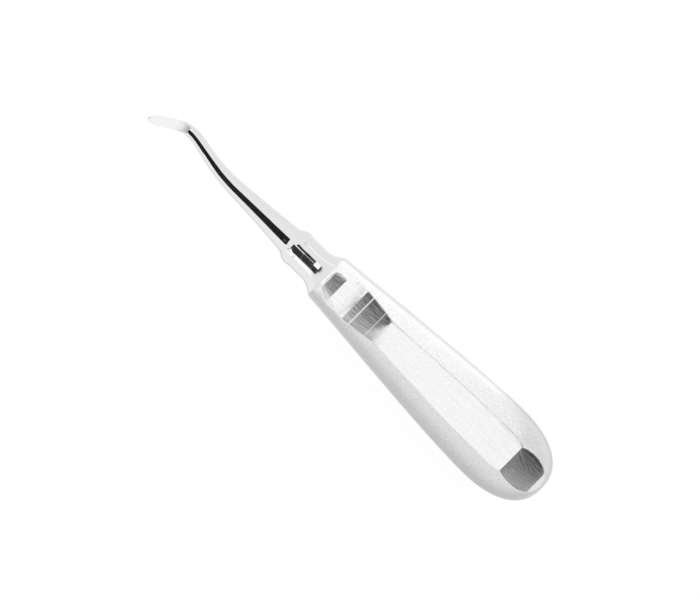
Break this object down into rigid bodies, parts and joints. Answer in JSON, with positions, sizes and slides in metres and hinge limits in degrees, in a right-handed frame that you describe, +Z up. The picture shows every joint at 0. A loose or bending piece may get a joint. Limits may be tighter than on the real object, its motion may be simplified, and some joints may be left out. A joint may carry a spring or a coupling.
{
  "type": "curved dental elevator",
  "caption": "Stainless hand instrument for loosening teeth and roots: a broad satin handle with a thumb rest, a polished neck and a tapered shank that curves to a small gouge-shaped blade.",
  "frame": {"origin": "On the surface that the instrument lies on, under the middle of its bounding box, which is about 8.6 mm towards the butt from the shoulder where neck and handle meet.", "axes": "+X runs from the blade's tip to the butt of the handle, +Z is up, out of the ground front of the handle, and +Y is the side that the shank first curves to, before the blade turns back over to -Y."},
  "size_m": [0.1499, 0.0242, 0.0143],
  "materials": {
    "satin_steel": "satin, finely brushed along the handle",
    "polished_steel": "polished stainless steel, near mirror"
  },
  "bodies": {
    "root": {"handle": "satin_steel", "working_end": "polished_steel"}
  },
  "joints": []
}
